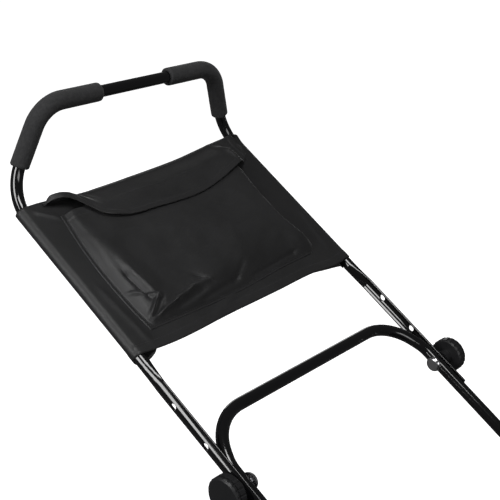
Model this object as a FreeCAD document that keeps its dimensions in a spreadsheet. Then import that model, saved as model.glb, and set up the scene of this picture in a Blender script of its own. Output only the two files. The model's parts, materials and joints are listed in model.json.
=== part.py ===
import FreeCAD, Part
import math
import os
import re

import Sketcher

# Four-wheeled shopping trolley with a folding, two-part push handle.
# Millimetres. +Z is up, the front of the trolley points to -Y and the user stands at +Y.
# The chassis is laid out around the middle of its two tube loops; the cell origin_shift then moves
# everything along Y, so that the origin is the middle of the trolley's footprint, on the floor.
# The handle's pieces are drawn in a frame of their own: X across, Y up along the side tubes and
# Z away from the fabric panel, with the middle of the bow's cross tube as the origin.

Vector = FreeCAD.Vector
Rotation = FreeCAD.Rotation
ACROSS = Vector(1, 0, 0)
SIDES = (("left", -1), ("right", 1))

document = FreeCAD.newDocument("shopping_trolley")
sheet = document.addObject("Spreadsheet::Sheet", "dims")

DIMENSIONS = [
    # chassis
    ("body_length", 520, "loop tubes, centre to centre, along Y"),
    ("body_width", 355, "loop tubes, centre to centre, along X"),
    ("rim_height", 400, "floor to the centre of the top loop"),
    ("base_height", 150, "floor to the centre of the bottom loop"),
    ("loop_corner", 50, "bend radius of both loops"),
    ("frame_tube", 16, "outside diameter of every frame tube"),
    ("frame_wall", 1.5, "wall of every frame tube"),
    ("post_inset", 65, "corner posts, in from the front and back tubes"),
    ("cross_inset", 130, "cross tubes, in from the front and back tubes"),
    ("board_thick", 4, "floor board"),
    ("board_gap", 12, "floor board and hamper, in from the loop tubes' centres"),
    ("hamper_wall", 2.5, "hamper fabric with its stiffener"),
    ("hamper_top", 6, "top hem above the centre of the top loop"),
    ("soft_gap", 0.3, "air between a soft solid and its neighbour"),
    ("run_gap", 0.05, "radial clearance of a turning fit"),
    # rear wheels
    ("rear_wheel", 200, "outside diameter"),
    ("rear_tread", 34, "tyre width"),
    ("rear_tyre", 20, "tyre depth"),
    ("rear_hub", 44, "hub length"),
    ("axle", 12, "axle diameter"),
    ("axle_track", 210, "axle block to axle block, centre to centre"),
    ("axle_block", 30, "axle block's size along X"),
    ("wheel_gap", 1, "block to hub, hub to cap"),
    ("hub_radius", 15, "hub of a rear wheel"),
    ("rear_web", 14, "disc between hub and rim"),
    ("spokes", 6, "ribs on the disc of a rear wheel"),
    ("spoke_wide", 11, "rib width"),
    ("spoke_rise", 3, "rib above the disc, on the outer face"),
    ("spoke_root", 1, "rib through to the inner face of the disc"),
    ("spoke_short", 6, "rib's outer end, short of the rim's well"),
    ("rim_lip", 2, "rim narrower than its tyre, on each side"),
    ("rim_bed", 8, "depth of the rim's well under the tyre"),
    ("hub_flare", 3, "hub wider where it meets the disc"),
    ("hub_clear", 5, "hub outside the bottom loop's tube"),
    ("axle_foot", 16, "axle block, from its middle along Y"),
    ("axle_top", 14, "axle block's upper end, behind its middle"),
    ("axle_lip", 2, "axle block's upper end, outside the floor board's edge"),
    ("axle_below", 12, "axle block below the axle"),
    ("axle_above", 3, "axle block above the loop's tube"),
    ("axle_slope", 6, "axle block's slanted face, below the loop's tube"),
    ("cap_flange", 2, "cap's flange, wider than twice the axle"),
    ("cap_long", 8, "cap along the axle"),
    ("cap_deep", 6, "axle inside its cap"),
    # castors
    ("front_wheel", 100, "outside diameter"),
    ("front_tread", 28, "tyre width"),
    ("front_tyre", 12, "tyre depth"),
    ("castor_track", 220, "swivel axis to swivel axis"),
    ("castor_ahead", 24, "swivel axis ahead of the front tube's centre"),
    ("castor_trail", 26, "wheel behind the swivel axis"),
    ("castor_stem", 10, "swivel stem diameter"),
    ("castor_bolt", 6, "wheel bolt diameter"),
    ("fork_steel", 3, "fork's sheet"),
    ("fork_clear", 3, "fork to wheel, and fork to socket"),
    ("fork_plate", 17, "fork's top plate, from the swivel axis along Y"),
    ("fork_side", 12, "depth of the fork's cheeks at their front"),
    ("fork_eye", 9, "fork's lower end, from the wheel bolt along Y"),
    ("fork_eye_flat", 5, "flat end of the fork, from the wheel bolt along Y"),
    ("fork_eye_high", 6, "fork's lower end, from the wheel bolt along Z"),
    ("fork_eye_low", 10, "fork's lower end below the wheel bolt"),
    ("socket_half", 15, "castor socket, from the swivel axis"),
    ("socket_wall", 4, "socket above and below the loop's tube"),
    ("socket_back", 2, "socket behind the loop's tube"),
    ("stem_flange", 4, "swivel stem's head, wider than its shank"),
    ("stem_flange_top", 3, "top of that head, wider than the shank"),
    ("stem_head", 3, "height of that head"),
    ("castor_head", 4, "wheel bolt's head"),
    ("castor_nut", 5, "wheel bolt's nut"),
    ("castor_head_in", 5.5, "radius of head and nut at the fork"),
    ("castor_head_out", 5, "radius of head and nut at their ends"),
    ("castor_hub_out", 2.5, "hub beyond the tyre, on each side"),
    ("castor_hub_end", 9, "hub radius at its ends"),
    ("castor_hub_root", 11, "hub radius at the disc"),
    ("castor_web", 4, "half thickness of the wheel's disc"),
    ("castor_bed", 7, "depth of the rim at the disc"),
    ("castor_lip", 4, "depth of the rim at its edges"),
    # hinge block and stop
    ("block_half", 28, "block's foot, from its middle along Y"),
    ("block_top", 16, "block's top, from its middle along Y"),
    ("block_cover", 13, "block above the hinge's axis"),
    ("block_skirt", 5, "block below the loop's tube"),
    ("block_out", 12.5, "block's outer face, outside the loop tube's centre"),
    ("block_clear", 0.5, "hamper to block"),
    ("stop_start", 24, "stop's lower end, from the hinge along the leg"),
    ("stop_end", 46, "stop's upper end, from the hinge along the leg"),
    ("stop_thick", 6, "stop's ledge"),
    # handle
    ("handle_slope", 32.7, "side tubes above the horizontal, in degrees"),
    ("stem_length", 400, "hinge to the bow's cross tube"),
    ("hinge_inset", 107, "hinge, in from the back tube's centre"),
    ("hinge_rise", 24, "hinge above the top loop's centre"),
    ("bow_half", 200.5, "bow's legs, from the middle"),
    ("bow_flat", 175.8, "bow's upper bend, from the middle"),
    ("bow_drop", 57.8, "bow's lower bend, below its cross tube"),
    ("bow_upper_bend", 70.5, "bend radius beside the cross tube"),
    ("bow_lower_bend", 43.7, "bend radius beside the leg"),
    ("nest_gap", 0.3, "between a bow leg and the channel round it"),
    ("nest_angle", 120, "arc of the flattened channel, in degrees"),
    ("lap_low", 129.5, "channel's end, below the bow's cross tube"),
    ("lap_high", 65, "channel's end, above the bow's cross tube"),
    ("lap_fade", 35, "length over which the round tube becomes the channel"),
    ("hole_pitch", 60, "height holes, centre to centre"),
    ("hole_low", 85, "lowest height hole, below the bow's cross tube"),
    ("hole_slack", 1, "height hole wider than its bolt"),
    ("shoulder_rise", 320, "where the side tubes start to lean in"),
    ("shoulder_bend", 300, "bend radius at the shoulder"),
    ("shoulder_lean", 4.8, "how far they lean in at the bend"),
    ("bend_rise", 390, "bend towards the user, above the bow's cross tube"),
    ("bend_radius", 60, "bend towards the user"),
    ("grip_rise", 431.5, "handle's cross tube above the bow's"),
    ("grip_reach", 105, "handle's cross tube, off the panel's plane"),
    ("grip_half", 155, "handle's corners, from the middle"),
    ("grip_bend", 45, "bend radius at the handle's corners"),
    ("grip_size", 25, "foam grip outside diameter"),
    ("grip_bare", 123, "bare tube between the foam grips"),
    ("grip_leg", 58, "foam below the corner bend, along the tube"),
    ("leg_tail", 14, "bow's leg beyond the hinge"),
    ("plug_flange", 3, "plug's flange at the end of the leg"),
    ("plug_deep", 8, "plug inside the leg"),
    # fasteners
    ("bolt", 8, "shank of the handle bolts"),
    ("bolt_head", 21.5, "domed head diameter"),
    ("dome", 5, "domed head height"),
    ("knob", 48, "clamping knob diameter"),
    ("knob_thick", 16, "fluted disc of the knob"),
    ("knob_boss", 20, "knob's boss diameter"),
    ("boss_long", 10, "knob's boss length"),
    ("flutes", 20, "flutes of a knob"),
    ("flute_size", 2, "radius of a flute"),
    ("flute_out", 1, "flute's centre outside the knob's edge"),
    ("knob_chamfer", 2, "chamfer towards the boss"),
    ("knob_edge", 2.5, "chamfer of the outer edge"),
    ("groove_low", 6, "ring groove's lower side, below the outer face"),
    ("groove_high", 4.8, "ring groove's upper side, below the outer face"),
    ("groove_deep", 1.5, "ring groove"),
    ("knob_cover", 5, "knob over its bolt's tip"),
    ("tip_below", 6, "bolt's tip below the knob's outer face"),
    ("dome_flat", 0.4, "upright edge left under the dome"),
    # fabric on the handle
    ("panel_low", 110, "panel's lower hem above the bow's cross tube"),
    ("panel_high", 352, "panel's upper edge above the bow's cross tube"),
    ("cloth", 1.2, "one layer of fabric"),
    ("pocket_half", 168, "pocket's sides, from the middle"),
    ("pocket_low", 134, "pocket's floor above the bow's cross tube"),
    ("pocket_high", 326, "pocket's mouth above the bow's cross tube"),
    ("pocket_deep", 24, "pocket's depth at its floor"),
    ("pocket_mouth", 12, "pocket's depth at its mouth"),
    ("flap_half", 186, "flap's ends, from the middle"),
    ("flap_low", 290, "flap's free edge above the bow's cross tube"),
    ("flap_knee", 3, "flap's bend above the pocket's mouth"),
    ("flap_over", 1, "flap off the pocket's mouth"),
]

for row, (alias, value, note) in enumerate(DIMENSIONS, start=1):
    sheet.set(f"A{row}", alias)
    sheet.set(f"B{row}", str(value))
    sheet.set(f"C{row}", note)
    sheet.setAlias(f"B{row}", alias)

# Places that follow from the driving dimensions.
DERIVED = [
    ("origin_shift", "0"),
    ("frame_r", "frame_tube / 2"),
    ("hinge_y", "body_length / 2 - hinge_inset"),
    ("hinge_z", "rim_height + hinge_rise"),
    ("stem_y", "hinge_y + stem_length * cos(handle_slope * 1deg)"),
    ("stem_z", "hinge_z + stem_length * sin(handle_slope * 1deg)"),
    ("hole_size", "bolt + hole_slack"),
    ("handle_half", "bow_half + nest_gap + 2 * frame_wall"),
    ("block_inner", "body_width / 2 - board_gap + block_clear"),
    ("block_face", "body_width / 2 + block_out"),
    ("axle_y", "body_length / 2"),
    ("axle_z", "rear_wheel / 2"),
    ("hub_face", "body_width / 2 + frame_r + hub_clear"),
    ("castor_y", "-body_length / 2 - castor_ahead"),
    ("castor_z", "front_wheel / 2"),
    ("castor_low", "base_height - frame_r - socket_wall"),
    ("fork_top", "castor_low - fork_clear"),
    ("fork_half", "front_tread / 2 + fork_clear + fork_steel"),
    ("board_low", "base_height + frame_r"),
    ("hamper_low", "board_low + board_thick + soft_gap"),
    ("hamper_high", "rim_height + hamper_top"),
    ("panel_skin", "frame_r + soft_gap + cloth"),
]
for row, (alias, formula) in enumerate(DERIVED, start=len(DIMENSIONS) + 1):
    sheet.set(f"A{row}", alias)
    sheet.set(f"B{row}", "=" + formula)
    sheet.setAlias(f"B{row}", alias)
    if alias == "origin_shift":
        shift_cell = f"B{row}"
document.recompute()

ALIASES = {alias for alias, *rest in DIMENSIONS + DERIVED}

# One node name for each sub-part, in the order in which they are made.
nodes = {}


def size(formula):
    """Number that a formula of the sheet's aliases gives."""
    result = sheet.evalExpression(formula)
    return float(getattr(result, "Value", result))


def on_sheet(formula):
    """The same formula, as an expression that another object can hold."""
    return re.sub(r"[a-z]\w*", lambda word: "dims." + word[0] if word[0] in ALIASES else word[0], formula)


def register(item, node):
    item.Label = node
    nodes[node] = item
    return item


def place(item, x="0", y="0", z="0", tilted=False):
    """Put a sub-part at x, y, z of the chassis, or of the handle's own frame when tilted."""
    if tilted:
        item.Placement = FreeCAD.Placement(Vector(), Rotation(ACROSS, size("handle_slope")))
        item.setExpression("Placement.Rotation.Angle", on_sheet("handle_slope * 1deg"))
        y, z = "stem_y", "stem_z"
    item.setExpression("Placement.Base.x", on_sheet(x))
    item.setExpression("Placement.Base.y", on_sheet(f"origin_shift + {y}"))
    item.setExpression("Placement.Base.z", on_sheet(z))
    return item


def shaped(node, shape, tilted=False):
    """Sub-part whose shape no single feature makes, such as a tube bent in space."""
    item = document.addObject("Part::Feature", node)
    item.Shape = shape.removeSplitter()
    return place(register(item, node), tilted=tilted)


def body(node):
    return register(document.addObject("PartDesign::Body", node), node)


def origin_item(owner, role):
    return next(item for item in owner.Origin.OriginFeatures if item.Role == role)


def outline(owner, plane, corners):
    """Sketch of straight edges whose corners are pairs of formulas."""
    sketch = owner.newObject("Sketcher::SketchObject", owner.Name + "_outline")
    sketch.AttachmentSupport = [(origin_item(owner, plane), "")]
    sketch.MapMode = "FlatFace"
    points = [Vector(size(a), size(b), 0) for a, b in corners]
    count = len(points)
    for index in range(count):
        sketch.addGeometry(Part.LineSegment(points[index], points[(index + 1) % count]), False)
    for index in range(count):
        sketch.addConstraint(Sketcher.Constraint("Coincident", index, 2, (index + 1) % count, 1))
    for index, pair in enumerate(corners):
        for axis, formula in zip("XY", pair):
            place_at = Sketcher.Constraint("Distance" + axis, -1, 1, index, 1, size(formula))
            number = sketch.addConstraint(place_at)
            name = f"{axis.lower()}_{index}"
            sketch.renameConstraint(number, name)
            sketch.setExpression("Constraints." + name, on_sheet(formula))
    return sketch


def circle(owner, plane, a, b, radius):
    """Sketch of one circle."""
    sketch = owner.newObject("Sketcher::SketchObject", owner.Name + "_circle")
    sketch.AttachmentSupport = [(origin_item(owner, plane), "")]
    sketch.MapMode = "FlatFace"
    centre = Vector(size(a), size(b), 0)
    sketch.addGeometry(Part.Circle(centre, Vector(0, 0, 1), size(radius)), False)
    for name, constraint, formula in (
        ("a", Sketcher.Constraint("DistanceX", -1, 1, 0, 3, centre.x), a),
        ("b", Sketcher.Constraint("DistanceY", -1, 1, 0, 3, centre.y), b),
        ("radius", Sketcher.Constraint("Radius", 0, size(radius)), radius),
    ):
        number = sketch.addConstraint(constraint)
        sketch.renameConstraint(number, name)
        sketch.setExpression("Constraints." + name, on_sheet(formula))
    return sketch


def turn(owner, corners, axis="H_Axis", plane="XY_Plane"):
    """Turned solid: the outline goes once round an axis of its sketch."""
    sketch = outline(owner, plane, corners)
    feature = owner.newObject("PartDesign::Revolution", owner.Name + "_turned")
    feature.Profile = (sketch, [""])
    feature.ReferenceAxis = (sketch, [axis])
    feature.Angle = 360
    return feature


def pad(owner, sketch, length, both_ways=False):
    feature = owner.newObject("PartDesign::Pad", owner.Name + "_pad")
    feature.Profile = (sketch, [""])
    feature.SideType = "Symmetric" if both_ways else "One side"
    feature.setExpression("Length", on_sheet(length))
    return feature


def pocket(owner, sketch, length=None):
    """Cut both ways from the sketch's plane, right through or to a whole length."""
    feature = owner.newObject("PartDesign::Pocket", owner.Name + "_cut")
    feature.Profile = (sketch, [""])
    feature.SideType = "Symmetric"
    if length is None:
        feature.Type = "ThroughAll"
    else:
        feature.setExpression("Length", on_sheet(length))
    return feature


def pattern(owner, original, role, count):
    """Repeat a feature evenly round an axis of the body's origin."""
    feature = owner.newObject("PartDesign::PolarPattern", owner.Name + "_pattern")
    feature.Originals = [original]
    feature.Axis = (origin_item(owner, role), [""])
    feature.Angle = 360
    feature.setExpression("Occurrences", on_sheet(count))
    owner.Tip = feature
    return feature


def round_off(owner, base, chosen, radius):
    """Fillet the edges of a feature that the test picks."""
    document.recompute()
    edges = base.Shape.Edges
    names = [f"Edge{number}" for number, edge in enumerate(edges, start=1) if chosen(edge)]
    feature = owner.newObject("PartDesign::Fillet", owner.Name + "_fillet")
    feature.Base = (base, names)
    feature.setExpression("Radius", on_sheet(radius))
    return feature


def is_ring(edge, radius, low=-1e9, high=1e9):
    """A full circle of this radius whose centre lies between low and high along X."""
    if not isinstance(edge.Curve, Part.Circle):
        return False
    return abs(edge.Curve.Radius - radius) < 1e-4 and low < edge.Curve.Center.x < high


def is_upright(edge):
    a, b = (vertex.Point for vertex in (edge.Vertexes[0], edge.Vertexes[-1]))
    return abs(a.x - b.x) < 1e-6 and abs(a.y - b.y) < 1e-6 and abs(a.z - b.z) > 1


# ---------------------------------------------------------------- tubes


def bent_path(points, radii):
    """Wire of straight runs joined by tangent arcs, one radius for each inner point."""
    edges = []
    start = points[0]
    for corner, radius, before, after in zip(points[1:-1], radii, points[:-2], points[2:]):
        back = (before - corner).normalize()
        ahead = (after - corner).normalize()
        half_turn = (math.pi - back.getAngle(ahead)) / 2
        reach = radius * math.tan(half_turn)
        enter = corner + back * reach
        leave = corner + ahead * reach
        inward = (back + ahead).normalize()
        middle = corner + inward * (radius / math.cos(half_turn) - radius)
        edges.append(Part.LineSegment(start, enter).toShape())
        edges.append(Part.Arc(enter, middle, leave).toShape())
        start = leave
    edges.append(Part.LineSegment(start, points[-1]).toShape())
    return Part.Wire(edges)


def swept(points, radii, radius):
    """Solid rod of one radius along a bent path."""
    path = bent_path(points, radii)
    ring = Part.Wire(Part.makeCircle(radius, points[0], points[1] - points[0]))
    return path.makePipeShell([ring], True, False)


def bent_tube(points, radii, outside, inside):
    return swept(points, radii, outside).cut(swept(points, radii, inside))


def rod(start, end, radius):
    return Part.makeCylinder(radius, (end - start).Length, start, end - start)


def loop_shape(height):
    """Closed rounded rectangle of tube, made as two mirrored halves joined at the middle."""
    half_w, half_l = size("body_width / 2"), size("body_length / 2")
    corner = size("loop_corner")
    points = [Vector(0, -half_l, height), Vector(half_w, -half_l, height),
              Vector(half_w, half_l, height), Vector(0, half_l, height)]
    outside, wall = size("frame_r"), size("frame_wall")
    half = bent_tube(points, [corner, corner], outside, outside - wall)
    return half.fuse(half.mirror(Vector(), ACROSS))


rim = shaped("rim_frame", loop_shape(size("rim_height")))
base = shaped("base_frame", loop_shape(size("base_height")))


def coped_tube(node, start, end, *neighbours):
    """Straight tube whose ends are cut to the round of the tubes that it is welded to."""
    outside, wall = size("frame_r"), size("frame_wall")
    shape = rod(start, end, outside).cut(rod(start, end, outside - wall))
    for a, b in neighbours:
        shape = shape.cut(rod(a, b, outside))
    return shaped(node, shape)


half_width = size("body_width / 2")
half_length = size("body_length / 2")
for place_name, toward in (("front", -1), ("rear", 1)):
    y = toward * (half_length - size("cross_inset"))
    ends = [Vector(side * half_width, y, size("base_height")) for name, side in SIDES]
    rails = [(end - Vector(0, half_length / 2, 0), end + Vector(0, half_length / 2, 0)) for end in ends]
    coped_tube(f"{place_name}_cross_tube", *ends, *rails)
    for name, side in SIDES:
        foot = Vector(side * half_width, toward * (half_length - size("post_inset")), size("base_height"))
        head = Vector(foot.x, foot.y, size("rim_height"))
        along = Vector(0, half_length / 2, 0)
        coped_tube(f"{place_name}_{name}_post", foot, head, (foot - along, foot + along),
                   (head - along, head + along))

# ---------------------------------------------------------------- load bed


def rounded_slab(owner, half_w, half_l, height, corner):
    """Upright block with rounded corners, standing on its body's own floor."""
    corners = [(f"-( {half_w} )", f"-( {half_l} )"), (half_w, f"-( {half_l} )"),
               (half_w, half_l), (f"-( {half_w} )", half_l)]
    block = pad(owner, outline(owner, "XY_Plane", corners), height)
    return round_off(owner, block, is_upright, corner)


BED_W = "body_width / 2 - board_gap"
BED_L = "body_length / 2 - board_gap"

board = body("floor_board")
rounded_slab(board, BED_W, BED_L, "board_thick", "loop_corner - board_gap")
place(board, z="board_low")

hamper = body("hamper")
bag_plan = [(f"-( {BED_W} )", f"-( {BED_L} )"), (BED_W, f"-( {BED_L} )"), (BED_W, BED_L),
            (f"-( {BED_W} )", BED_L)]
pad(hamper, outline(hamper, "XY_Plane", bag_plan), "hamper_high - hamper_low")
inner_w = BED_W + " - hamper_wall"
inner_l = BED_L + " - hamper_wall"
inside = hamper.newObject("PartDesign::SubtractiveBox", "hamper_inside")
inside.AttachmentSupport = [(origin_item(hamper, "XY_Plane"), "")]
inside.MapMode = "FlatFace"
inside.setExpression("Length", on_sheet(f"2 * ( {inner_w} )"))
inside.setExpression("Width", on_sheet(f"2 * ( {inner_l} )"))
inside.setExpression("Height", on_sheet("hamper_high - hamper_low"))
inside.setExpression("AttachmentOffset.Base.x", on_sheet(f"-( {inner_w} )"))
inside.setExpression("AttachmentOffset.Base.y", on_sheet(f"-( {inner_l} )"))
inside.setExpression("AttachmentOffset.Base.z", on_sheet("hamper_wall"))
wall_middle = size(BED_W + " - hamper_wall / 2")
lining = round_off(hamper, inside, lambda edge: is_upright(edge) and abs(edge.Vertexes[0].X) < wall_middle,
                   "loop_corner - board_gap - hamper_wall")
round_off(hamper, lining, lambda edge: is_upright(edge) and abs(edge.Vertexes[0].X) > wall_middle
          and abs(edge.Vertexes[0].Y) > size(BED_L) - 0.01, "loop_corner - board_gap")
place(hamper, z="hamper_low")


# ---------------------------------------------------------------- hinges


def hinge_block(name, side):
    """Moulded block on the top loop that carries the hinge bolt and the handle's stop."""
    item = body(f"{name}_hinge_block")
    inner, outer = "block_inner", "block_face"
    low, high = "-frame_r - block_skirt", "hinge_rise + block_cover"
    side_view = [("-block_half", low), ("block_half", low), ("block_half", "0"), ("block_top", high),
                 ("-block_top", high), ("-block_half", "0")]
    cheek = pad(item, outline(item, "YZ_Plane", side_view), "1")
    cheek.SideType = "Two sides"
    cheek.setExpression("Length", on_sheet(outer if side > 0 else f"-( {inner} )"))
    cheek.setExpression("Length2", on_sheet(f"-( {inner} )" if side > 0 else outer))
    pocket(item, circle(item, "XZ_Plane", f"{side} * body_width / 2", "0", "frame_r"))
    pocket(item, circle(item, "YZ_Plane", "0", "hinge_rise", "bolt / 2"))
    place(item, y="hinge_y", z="rim_height")
    return item


def handle_stop(name, side):
    """Ledge, bolted flat against the block, that the handle's leg rests on when it is up."""
    item = body(f"{name}_handle_stop")
    start, end = "-stem_length + stop_start", "-stem_length + stop_end"
    top = "-frame_r - nest_gap"
    under = f"{top} - stop_thick"
    ledge = [(start, under), (end, under), (end, top), (start, top)]
    shelf = pad(item, outline(item, "YZ_Plane", ledge), "1")
    shelf.SideType = "Two sides"
    shelf.setExpression("Length", on_sheet("bow_half + frame_r" if side > 0 else "-block_face"))
    shelf.setExpression("Length2", on_sheet("-block_face" if side > 0 else "bow_half + frame_r"))
    place(item, tilted=True)
    return item


def knob_shape(item, side, face):
    """Fluted clamping knob on the end of a bolt; face is where its boss starts."""
    disc = f"{face} + boss_long"
    end = f"{face} + boss_long + knob_thick"
    bore, edge, boss = "bolt / 2 + run_gap", "knob / 2", "knob_boss / 2"
    groove = f"{edge} - groove_deep"
    profile = [(face, bore), (face, boss), (disc, boss), (disc, f"{edge} - knob_chamfer"),
               (f"{disc} + knob_chamfer", edge), (f"{end} - groove_low", edge),
               (f"{end} - groove_low", groove), (f"{end} - groove_high", groove),
               (f"{end} - groove_high", edge), (f"{end} - knob_edge", edge),
               (end, f"{edge} - knob_edge"), (end, "0"), (f"{end} - knob_cover", "0"),
               (f"{end} - knob_cover", bore)]
    turn(item, [(f"{side} * ( {along} )", radius) for along, radius in profile])
    flute = pocket(item, circle(item, "YZ_Plane", "0", "knob / 2 + flute_out", "flute_size"))
    pattern(item, flute, "X_Axis", "flutes")


def bolt_shape(item, side, inner, tip):
    """Domed bolt from the inner face of its seat out to the tip inside a knob."""
    head = f"{inner} - dome"
    profile = [(head, "0"), (head, "bolt_head / 2"), (inner, "bolt_head / 2"), (inner, "bolt / 2"),
               (tip, "bolt / 2"), (tip, "0")]
    whole = turn(item, [(f"{side} * ( {along} )", radius) for along, radius in profile])
    centre = side * size(head)
    round_off(item, whole, lambda edge: is_ring(edge, size("bolt_head / 2"), centre - 0.1, centre + 0.1),
              "dome - dome_flat")


LEG_FACE = "bow_half - frame_r"
LAP_FACE = "handle_half + frame_r"
HINGE_KNOB_FACE = "bow_half + frame_r + nest_gap"
for name, side in SIDES:
    hinge_block(name, side)
    handle_stop(name, side)

    spacer = body(f"{name}_hinge_spacer")
    washer = [("block_face", "bolt / 2"), ("block_face", "frame_r"),
              (f"{LEG_FACE} - nest_gap", "frame_r"), (f"{LEG_FACE} - nest_gap", "bolt / 2")]
    turn(spacer, [(f"{side} * ( {along} )", radius) for along, radius in washer])
    place(spacer, y="hinge_y", z="hinge_z")

    hinge_bolt = body(f"{name}_hinge_bolt")
    bolt_shape(hinge_bolt, side, "block_inner", f"{HINGE_KNOB_FACE} + boss_long + knob_thick - tip_below")
    place(hinge_bolt, y="hinge_y", z="hinge_z")

    hinge_knob = body(f"{name}_hinge_knob")
    knob_shape(hinge_knob, side, HINGE_KNOB_FACE)
    place(hinge_knob, y="hinge_y", z="hinge_z")

    height_bolt = body(f"{name}_height_bolt")
    bolt_shape(height_bolt, side, LEG_FACE, f"{LAP_FACE} + boss_long + knob_thick - tip_below")
    place(height_bolt, tilted=True)
    height_knob = body(f"{name}_height_knob")
    knob_shape(height_knob, side, LAP_FACE)
    place(height_knob, tilted=True)
    for item in (height_bolt, height_knob):
        slope = "handle_slope * 1deg"
        item.setExpression("Placement.Base.y",
                           on_sheet(f"origin_shift + stem_y - hole_low * cos( {slope} )"))
        item.setExpression("Placement.Base.z", on_sheet(f"stem_z - hole_low * sin( {slope} )"))

# ---------------------------------------------------------------- handle tubes


def across(x, along, off=0.0):
    """A small rod's ends across one side tube, at a place along the handle."""
    return Vector(x - 40, along, off), Vector(x + 40, along, off)


def mirrored(shape):
    return shape.fuse(shape.mirror(Vector(), ACROSS))


def bow_shape():
    """Lower bow: two legs and a cross tube, bent from one tube."""
    half, flat = size("bow_half"), size("bow_flat")
    tail = -size("stem_length + leg_tail")
    drop = -size("bow_drop")
    points = [Vector(half, tail, 0), Vector(half, drop, 0), Vector(flat, 0, 0),
              Vector(-flat, 0, 0), Vector(-half, drop, 0), Vector(-half, tail, 0)]
    lower, upper = size("bow_lower_bend"), size("bow_upper_bend")
    outside = size("frame_r")
    shape = bent_tube(points, [lower, upper, upper, lower], outside, outside - size("frame_wall"))
    for side in (-1, 1):
        for along, radius in ((-size("hole_low"), size("bolt / 2")),
                              (-size("stem_length"), size("bolt / 2 + run_gap"))):
            shape = shape.cut(rod(*across(side * half, along), radius))
    return shape


def channel_wire(along):
    """Cross-section of the flattened side tube: a thick arc with round ends."""
    centre = size("bow_half")
    inner = size("frame_r + nest_gap")
    outer = inner + size("2 * frame_wall")
    half_angle = math.radians(size("nest_angle")) / 2

    def at(radius, angle):
        return Vector(centre + radius * math.cos(angle), along, radius * math.sin(angle))

    middle = (inner + outer) / 2
    cap = (outer - inner) / 2 / middle
    return Part.Wire([
        Part.Arc(at(outer, -half_angle), at(outer, 0), at(outer, half_angle)).toShape(),
        Part.Arc(at(outer, half_angle), at(middle, half_angle + cap), at(inner, half_angle)).toShape(),
        Part.Arc(at(inner, half_angle), at(inner, 0), at(inner, -half_angle)).toShape(),
        Part.Arc(at(inner, -half_angle), at(middle, -half_angle - cap), at(outer, -half_angle)).toShape(),
    ])


def round_wire(along):
    """The round tube's section, split where the channel's corners will be."""
    centre, radius = size("handle_half"), size("frame_r")
    stops = [math.radians(angle) for angle in (-110, 0, 110, 125, 140, 180, 220, 235, 250)]
    at = [Vector(centre + radius * math.cos(a), along, radius * math.sin(a)) for a in stops]
    return Part.Wire([Part.Arc(*at[index:index + 3]).toShape() for index in (0, 2, 4, 6)])


def handle_points():
    """Right half of the upper handle's route, from the end of the channel to the middle."""
    half = size("handle_half")
    return [
        Vector(half, size("lap_high + lap_fade"), 0),
        Vector(half, size("shoulder_rise"), 0),
        Vector(half - size("shoulder_lean"), size("bend_rise"), 0),
        Vector(size("grip_half"), size("grip_rise"), size("grip_reach")),
        Vector(0, size("grip_rise"), size("grip_reach")),
    ]


HANDLE_BENDS = [size("shoulder_bend"), size("bend_radius"), size("grip_bend")]


def handle_shape():
    """Upper handle: round tube, pressed at its lower ends into channels round the bow's legs."""
    outside = size("frame_r")
    half = bent_tube(handle_points(), HANDLE_BENDS, outside, outside - size("frame_wall"))
    fade_ends = [channel_wire(size("lap_high")), round_wire(size("lap_high + lap_fade"))]
    fade = Part.makeLoft(fade_ends, True, True)
    channel = Part.Face(channel_wire(-size("lap_low"))).extrude(Vector(0, size("lap_high + lap_low"), 0))
    for step in range(3):
        along = step * size("hole_pitch") - size("hole_low")
        channel = channel.cut(rod(*across(size("bow_half"), along), size("hole_size") / 2))
    return mirrored(half.fuse([fade, channel]))


bow = shaped("stem_bow", bow_shape(), tilted=True)
handle = shaped("handle_tube", handle_shape(), tilted=True)


def grip_shape(side):
    """Foam sleeve that follows the tube round one corner of the handle and down into the bend."""
    lean, straight, bend, leg, corner, top = bent_path(handle_points(), HANDLE_BENDS).Edges[1:]
    over = size("grip_leg") - leg.Length
    start = bend.getParameterByLength(bend.Length - over)
    foot = Part.Edge(bend.Curve, start, bend.LastParameter)
    end = top.getParameterByLength(top.Length - size("grip_bare") / 2)
    path = Part.Wire([foot, leg, corner, Part.Edge(top.Curve, top.FirstParameter, end)])
    sleeve, bore = (
        path.makePipeShell([Part.Wire(Part.makeCircle(radius, foot.valueAt(start), foot.tangentAt(start)))],
                           True, False)
        for radius in (size("grip_size / 2"), size("frame_r + run_gap")))
    sleeve = sleeve.cut(bore)
    return sleeve if side > 0 else sleeve.mirror(Vector(), ACROSS)


for name, side in SIDES:
    shaped(f"{name}_grip", grip_shape(side), tilted=True)

    plug = body(f"{name}_stem_plug")
    bore = "frame_r - frame_wall"
    tail = "-stem_length - leg_tail"
    turn(plug, [("0", f"{tail} - plug_flange"), ("frame_r", f"{tail} - plug_flange"), ("frame_r", tail),
                (bore, tail), (bore, f"{tail} + plug_deep"), ("0", f"{tail} + plug_deep")], axis="V_Axis")
    place(plug, x=f"{side} * bow_half", tilted=True)

# ---------------------------------------------------------------- panel, pocket and flap


def stadium(radius, low, high):
    """Flat tube that goes round both side tubes, as a pillowcase does."""
    half = size("handle_half")
    ends = [rod(Vector(side * half, low, 0), Vector(side * half, high, 0), radius) for side in (-1, 1)]
    middle = Part.makeBox(2 * half, high - low, 2 * radius, Vector(-half, low, -radius))
    return ends[0].fuse([ends[1], middle]).removeSplitter()


skin = size("panel_skin")
panel_range = (size("panel_low"), size("panel_high"))
panel = stadium(skin, *panel_range).cut(stadium(skin - size("cloth"), *panel_range))
shaped("handle_panel", panel, tilted=True)

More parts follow.
